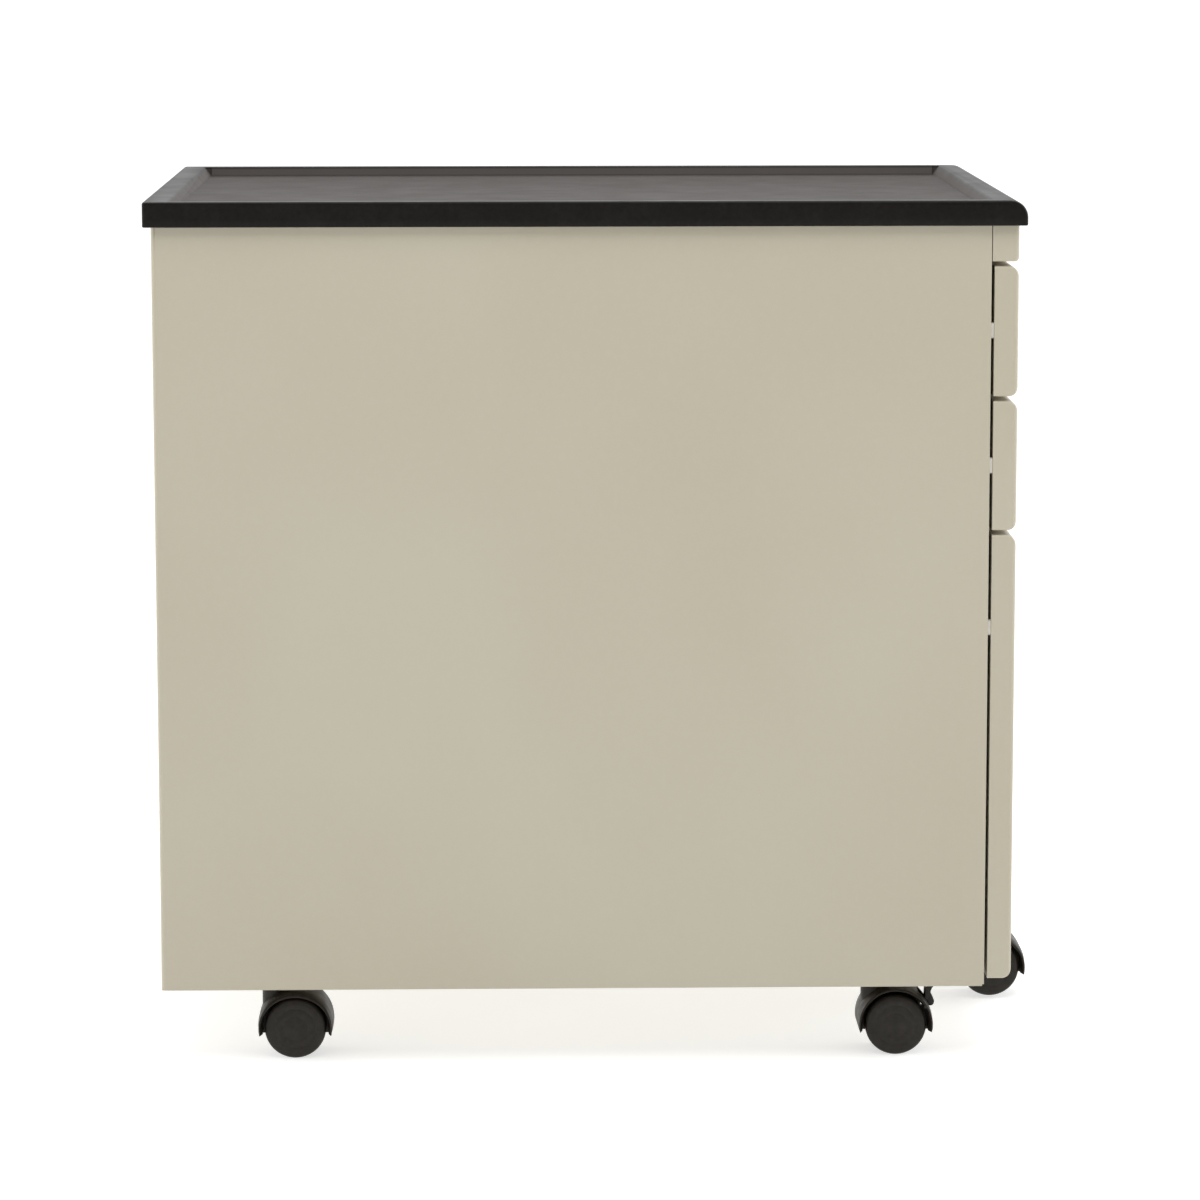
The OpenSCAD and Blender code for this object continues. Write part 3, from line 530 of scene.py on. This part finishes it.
# ---------------------------------------------------------------- build
top()
front("header_front", "header_rail", 1.2, 2.5, ("round", 9.1, 150.0, 534.0), "cabinet", boxmm("header_rail")[1][1] - 0.5)
for tag, body in (("drawer_1", "drawer_1"), ("drawer_2", "drawer_2"), ("file", "file_drawer")):
    lo, hi = boxmm(tag + "_pull")
    front(tag + "_front_panel", tag + "_front", 6.5, 6.0 if tag == "file" else 5.5, ("slot", 112.0, 26.0, (lo[2] + hi[2]) / 2), body)
    pull(tag + "_recessed_pull", tag + "_pull", body, boxmm(tag + "_front")[0][1])
for k in ("rear_left", "rear_right", "front_left", "front_right", "tip"):
    c = "caster_" + k
    lo, hi = boxmm(c + "_axle")
    cx, cy = (lo[0] + hi[0]) / 2, (lo[1] + hi[1]) / 2 + 13.0
    up = (lo[2] + hi[2]) / 2 - 20.0
    brk = k.startswith("front")
    piece(caster_hood(c + "_canopy", cx, cy, up, boxmm(c + "_hood")[1][2], brk), c, "black_nylon", c + "_hood")
    for w, s in (("a", -1), ("b", 1)):
        piece(caster_wheel(c + "_roller_" + w, cx, cy, up, s), c + "_spin_" + w, "black_nylon", c + "_wheel_" + w)
    if brk:
        piece(brake_lever(c + "_toggle", cx, cy), c + "_lever", "black_nylon", c + "_brake")

# small edge rounds on the CAD sheet-metal pieces that stay
for n in ("case_wrap", "drawer_1_body", "drawer_2_body", "file_body", "base_pan", "lock_housing", "lock_plug"):
    o = N[n]
    w = o.modifiers.new("weld", "WELD")
    w.merge_threshold = 0.00001
    b = o.modifiers.new("edge", "BEVEL")
    b.width, b.segments, b.limit_method, b.angle_limit = 0.00028, 2, "ANGLE", math.radians(40)
    b.use_clamp_overlap = True
    b.harden_normals = False

# ---------------------------------------------------------------- floor, light, camera
fm = Mat("pale_floor")
fm.link(fm.mix(fm.remap(fm.noise(90, 3), 0, 1, 0.3, 0.7), (0.56, 0.56, 0.56), (0.59, 0.59, 0.588)), fm.p.inputs["Base Color"])
fm.p.inputs["Roughness"].default_value = 0.85
fm.p.inputs["Specular IOR Level"].default_value = 0.1
fm.p.inputs["Emission Color"].default_value = (1.0, 1.0, 0.995, 1)
fm.p.inputs["Emission Strength"].default_value = FLOOR_GLOW
me = bpy.data.meshes.new("floor")
rings = [0.0, 0.5, 1.0, 2.0, 4.0, 8.0, 16.0, 40.0]
fv = [(0.0, 0.0, 0.0)] + [(q * math.cos(2 * math.pi * k / 48), q * math.sin(2 * math.pi * k / 48), 0.0) for q in rings[1:] for k in range(48)]
ff = [(0, 1 + k, 1 + (k + 1) % 48) for k in range(48)]
for i in range(len(rings) - 2):
    ff += [(1 + 48 * i + k, 49 + 48 * i + k, 49 + 48 * i + (k + 1) % 48, 1 + 48 * i + (k + 1) % 48) for k in range(48)]
me.from_pydata(fv, [], ff)
floor = bpy.data.objects.new("floor", me)
scene.collection.objects.link(floor)
me.materials.append(fm.m)

w = bpy.data.worlds.new("studio") if scene.world is None else scene.world
scene.world = w
w.use_nodes = True
wt = w.node_tree
bg = wt.nodes.get("Background")
bg.inputs["Color"].default_value = (1.0, 1.0, 1.0, 1)
# a pale room: bright behind and above, dimmer on the side that the long panel faces
wc = wt.nodes.new("ShaderNodeTexCoord")
ws = wt.nodes.new("ShaderNodeSeparateXYZ")
wr = wt.nodes.new("ShaderNodeMapRange")
wr.interpolation_type = "SMOOTHSTEP"
wr.inputs["From Min"].default_value, wr.inputs["From Max"].default_value = -0.85, 0.35
wr.inputs["To Min"].default_value, wr.inputs["To Max"].default_value = ROOM
wp = wt.nodes.new("ShaderNodeLightPath")
wm = wt.nodes.new("ShaderNodeMix")
wt.links.new(wc.outputs["Generated"], ws.inputs[0])
wt.links.new(ws.outputs["X"], wr.inputs["Value"])
wt.links.new(wp.outputs["Is Camera Ray"], wm.inputs[0])
wt.links.new(wr.outputs["Result"], wm.inputs[2])
wm.inputs[3].default_value = 1.05
wt.links.new(wm.outputs[0], bg.inputs["Strength"])


def area(name, at, to, size, energy, color=(1, 1, 1)):
    l = bpy.data.lights.new(name, "AREA")
    l.shape, l.size, l.size_y, l.energy, l.color = "RECTANGLE", size[0], size[1], energy, color
    o = bpy.data.objects.new(name, l)
    scene.collection.objects.link(o)
    o.location = at
    o.rotation_euler = (Vector(to) - Vector(at)).to_track_quat("-Z", "Y").to_euler()
    return o


area("key", (-1.5, -0.25, 2.95), (0, 0, 0.4), (1.9, 1.7), KEY)
area("overhead", (0.5, 0.1, 2.8), (0, 0, 0.4), (2.4, 2.4), OVERHEAD)
area("left", (0.4, 2.8, 1.1), (0, 0, 0.3), (1.6, 1.4), SIDE)
area("right", (0.6, -2.8, 1.2), (0, 0, 0.3), (1.6, 1.4), SIDE)

cam = bpy.data.cameras.new("camera")
co = bpy.data.objects.new("camera", cam)
scene.collection.objects.link(co)
yaw, pitch, roll = -0.02064, 0.14017, -0.00094
d = Vector((math.cos(pitch) * math.cos(yaw), math.cos(pitch) * math.sin(yaw), -math.sin(pitch)))
r = d.cross(Vector((0, 0, 1))).normalized()
u = r.cross(d)
r2, u2 = r * math.cos(roll) + u * math.sin(roll), -r * math.sin(roll) + u * math.cos(roll)
M3 = Matrix((r2, u2, -d)).transposed()
co.matrix_world = Matrix.Translation(Vector((-3.05657, 0.06276, 0.74839))) @ M3.to_4x4()
cam.lens, cam.sensor_width, cam.sensor_fit = 136.18, 36.0, "HORIZONTAL"
cam.shift_x, cam.shift_y = 0.0, -0.05
cam.clip_start, cam.clip_end = 0.05, 60
scene.camera = co
scene.view_settings.view_transform = "Standard"
